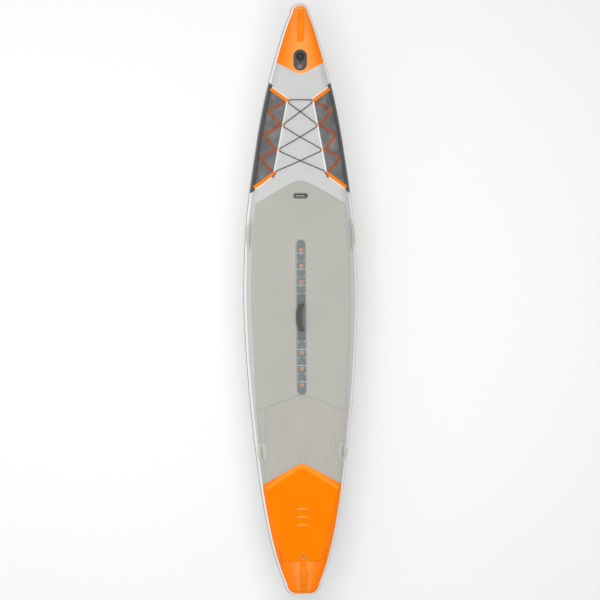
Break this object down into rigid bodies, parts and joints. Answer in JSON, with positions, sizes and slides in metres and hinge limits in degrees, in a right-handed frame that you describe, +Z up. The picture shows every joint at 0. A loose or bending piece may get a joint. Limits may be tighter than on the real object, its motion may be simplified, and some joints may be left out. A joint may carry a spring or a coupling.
{
  "type": "stand up paddleboard",
  "caption": "Inflatable touring stand up paddleboard with pointed nose, grooved deck pads, cargo nets with bungee lacing, carry handles, air valve and a slide-in tail fin.",
  "frame": {"origin": "centre of the flat, unrockered stretch of the bottom face, halfway along the board and on its centreline", "axes": "+Y towards the nose, +X to the rider's right, +Z up, away from the bottom face"},
  "size_m": [0.7376, 3.8106, 0.483],
  "materials": {
    "pvc_grey": "coated drop-stitch fabric, satin light grey",
    "pvc_white": "coated drop-stitch fabric, satin white",
    "stripe": "coated band, grey, coloured at the nose",
    "yarn": "polyester yarn",
    "cover_orange": "smooth coated sheet, bright orange",
    "eva_grey": "grooved soft foam, warm grey",
    "eva_orange": "textured soft foam, orange",
    "eva_light": "soft foam, light orange",
    "badge": "dark flexible plate",
    "strip": "dense foam strip, blue grey",
    "strip_marks": "raised print, pale grey",
    "orange_print": "raised print, orange",
    "net": "open hexagonal mesh, dark grey",
    "binding_dark": "woven tape, dark",
    "webbing_orange": "woven webbing, orange",
    "piping": "rolled piping, white",
    "bungee": "braided elastic cord, black",
    "hard_black": "moulded plastic, black",
    "patch_dark": "coated patch, dark",
    "patch_orange": "coated patch, orange",
    "patch_grey": "coated patch, grey",
    "webbing_grey": "woven webbing, grey",
    "grip": "soft sleeve with stitched seam",
    "seal": "soft rubber",
    "steel": "stainless",
    "brass": "plain",
    "fin_plastic": "glass-filled nylon, satin black"
  },
  "bodies": {
    "board": {"deck_panel": "pvc_grey", "bottom_panel": "pvc_white", "side_wall_left": "pvc_white", "side_wall_right": "pvc_white", "net_left": "net", "net_right": "net", "carry_handle_tabs": "webbing_grey", "carry_handle_patches": "patch_dark", "end_strap_tabs": "webbing_orange", "end_strap_patches": "patch_orange", "side_handle_tabs": "webbing_grey", "side_handle_patches": "patch_grey", "rail_stripes": "stripe", "drop_stitch_yarns": "yarn", "nose_cover": "cover_orange", "tail_cover": "cover_orange", "deck_pad_front": "eva_grey", "deck_pad_rear": "eva_grey", "tail_pad": "eva_orange", "tail_pad_bars": "eva_light", "badge_plate": "badge", "centre_strip": "strip", "strip_marks": "strip_marks", "strip_numerals": "orange_print", "net_rail_bindings": "binding_dark", "net_end_bindings": "webbing_orange", "net_pipings": "piping", "zigzag_tapes": "webbing_orange", "bungee_cord": "bungee", "bungee_loops": "webbing_orange", "bungee_stoppers": "hard_black", "valve_plate": "patch_dark", "valve_body": "hard_black", "valve_nut": "hard_black", "valve_gasket": "seal", "valve_spring": "steel", "leash_patch": "patch_orange", "leash_loop": "patch_orange", "fin_box_patch": "patch_grey", "fin_box": "hard_black"},
    "carry_handle": {"carry_handle_webbing": "webbing_grey", "carry_handle_grip": "grip"},
    "nose_strap": {"nose_strap": "webbing_orange"},
    "tail_strap": {"tail_strap": "webbing_orange"},
    "leash_ring": {"leash_ring": "steel"},
    "valve_tether": {"valve_tether": "seal"},
    "valve_cap": {"valve_cap": "hard_black", "valve_cap_seal": "seal"},
    "valve_plunger": {"valve_plunger": "hard_black"},
    "fin": {"fin": "fin_plastic", "fin_pin": "steel"},
    "fin_screw": {"fin_screw": "steel"},
    "fin_nut_plate": {"fin_nut_plate": "brass"},
    "mid_handle_left": {"mid_handle_left": "webbing_grey"},
    "mid_handle_right": {"mid_handle_right": "webbing_grey"},
    "rear_handle_left": {"rear_handle_left": "webbing_grey"},
    "rear_handle_right": {"rear_handle_right": "webbing_grey"},
    "tail_handle_left": {"tail_handle_left": "webbing_orange"},
    "tail_handle_right": {"tail_handle_right": "webbing_orange"}
  },
  "joints": [
    {"name": "carry_handle_flop", "type": "hinge", "parent": "board", "child": "carry_handle", "pos_m": [0, -0.112, 0.1624], "axis": [0, 1, 0], "range_deg": [-33, 73]},
    {"name": "nose_strap_flop", "type": "hinge", "parent": "board", "child": "nose_strap", "pos_m": [0, 1.76059, 0.25514], "axis": [0, 0.9901, 0.14], "range_deg": [-50, 50]},
    {"name": "tail_strap_flop", "type": "hinge", "parent": "board", "child": "tail_strap", "pos_m": [0, -1.78511, 0.17396], "axis": [0, 0.9999, 0.0106], "range_deg": [-52, 30]},
    {"name": "mid_handle_left_flop", "type": "hinge", "parent": "board", "child": "mid_handle_left", "pos_m": [-0.33343, 0.4214, 0.13859], "axis": [0.0687, 0.9976, 0], "range_deg": [-50, 50]},
    {"name": "mid_handle_right_flop", "type": "hinge", "parent": "board", "child": "mid_handle_right", "pos_m": [0.33343, 0.4214, 0.13859], "axis": [-0.0687, 0.9976, 0], "range_deg": [-50, 50]},
    {"name": "rear_handle_left_flop", "type": "hinge", "parent": "board", "child": "rear_handle_left", "pos_m": [-0.27114, -0.98362, 0.14301], "axis": [-0.116, 0.9932, 0], "range_deg": [-50, 50]},
    {"name": "rear_handle_right_flop", "type": "hinge", "parent": "board", "child": "rear_handle_right", "pos_m": [0.27114, -0.98362, 0.14301], "axis": [0.116, 0.9932, 0], "range_deg": [-50, 50]},
    {"name": "tail_handle_left_flop", "type": "hinge", "parent": "board", "child": "tail_handle_left", "pos_m": [-0.15193, -1.64615, 0.16049], "axis": [-0.2707, 0.962, -0.0364], "range_deg": [-50, 50]},
    {"name": "tail_handle_right_flop", "type": "hinge", "parent": "board", "child": "tail_handle_right", "pos_m": [0.15193, -1.64615, 0.16049], "axis": [0.2707, 0.962, -0.0364], "range_deg": [-50, 50]},
    {"name": "leash_ring_swing", "type": "hinge", "parent": "board", "child": "leash_ring", "pos_m": [0, -1.64161, 0.17455], "axis": [-1, 0, 0], "range_deg": [0, 150]},
    {"name": "valve_tether_turn", "type": "hinge", "parent": "board", "child": "valve_tether", "pos_m": [0, 1.566, 0.21895], "axis": [0, -0.1223, 0.9925], "range_deg": [0, 90]},
    {"name": "valve_cap_lift", "type": "slide", "parent": "valve_tether", "child": "valve_cap", "axis": [0, -0.1223, 0.9925], "range_m": [0, 0.03]},
    {"name": "valve_plunger_press", "type": "slide", "parent": "board", "child": "valve_plunger", "axis": [0, 0.1223, -0.9925], "range_m": [0, 0.005], "stiffness_N_per_m": 500, "springref_m": -0.004, "deforming": ["valve_spring"]},
    {"name": "fin_slide", "type": "slide", "parent": "board", "child": "fin", "axis": [0, 0.9992, -0.041], "range_m": [-0.028, 0.028]},
    {"name": "fin_screw_turn", "type": "hinge", "parent": "fin", "child": "fin_screw", "pos_m": [0, -1.40007, 0.00452], "axis": [0, -0.041, -0.9992], "range_deg": [0, 540]},
    {"name": "fin_plate_travel", "type": "slide", "parent": "fin", "child": "fin_nut_plate", "axis": [0, 0.041, 0.9992], "range_m": [0, 0.00119]}
  ],
  "couplings": [
    {"joint": "fin_screw_turn", "follows": "fin_plate_travel", "rad_per_m": 7913.3}
  ]
}
